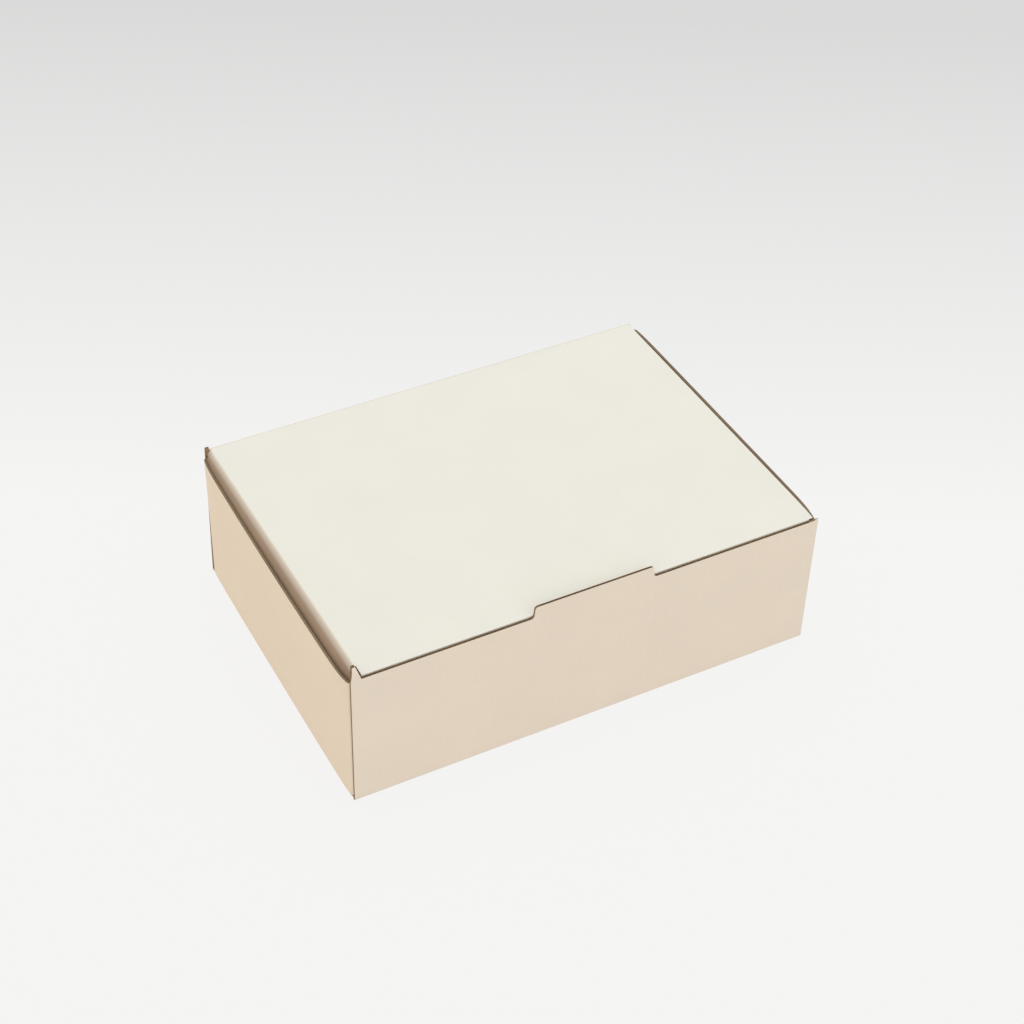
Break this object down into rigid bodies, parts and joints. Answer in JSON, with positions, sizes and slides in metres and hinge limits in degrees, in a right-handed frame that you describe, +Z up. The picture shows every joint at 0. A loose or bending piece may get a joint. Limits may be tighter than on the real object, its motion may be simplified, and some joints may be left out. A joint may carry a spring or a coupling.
{
  "type": "shipping box",
  "caption": "Corrugated mailer box with glued corners, a hinged lid, a front tuck flap and side flaps, closed for posting.",
  "frame": {"origin": "centre of the closed box's footprint, on the surface that it rests on", "axes": "+X along the width, to the right seen from the front; +Y from the front wall to the lid's crease at the back; +Z up"},
  "size_m": [0.31, 0.2224, 0.1073],
  "materials": {
    "white_board": "matt white-lined corrugated board",
    "kraft_liner": "bare kraft inner liner",
    "raw_edge": "raw cut edge of kraft fluting"
  },
  "bodies": {
    "tray": {"base_panel": "white_board", "front_wall": "white_board", "back_wall": "white_board", "left_wall": "white_board", "right_wall": "white_board", "front_left_glue_flap": "white_board", "front_right_glue_flap": "white_board", "back_left_glue_flap": "white_board", "back_right_glue_flap": "white_board"},
    "lid": {"lid_panel": "white_board"},
    "tuck": {"tuck_flap": "white_board"},
    "left_flap": {"left_lid_flap": "white_board"},
    "right_flap": {"right_lid_flap": "white_board"}
  },
  "joints": [
    {"name": "lid_hinge", "type": "hinge", "parent": "tray", "child": "lid", "pos_m": [0, 0.11125, 0.1], "axis": [-1, 0, 0], "range_deg": [0, 200]},
    {"name": "tuck_fold", "type": "hinge", "parent": "lid", "child": "tuck", "pos_m": [0, -0.10745, 0.0984], "axis": [1, 0, 0], "range_deg": [0, 78]},
    {"name": "left_flap_fold", "type": "hinge", "parent": "lid", "child": "left_flap", "pos_m": [-0.1487, 0, 0.0984], "axis": [0, -1, 0], "range_deg": [0, 85]},
    {"name": "right_flap_fold", "type": "hinge", "parent": "lid", "child": "right_flap", "pos_m": [0.1487, 0, 0.0984], "axis": [0, 1, 0], "range_deg": [0, 85]}
  ]
}
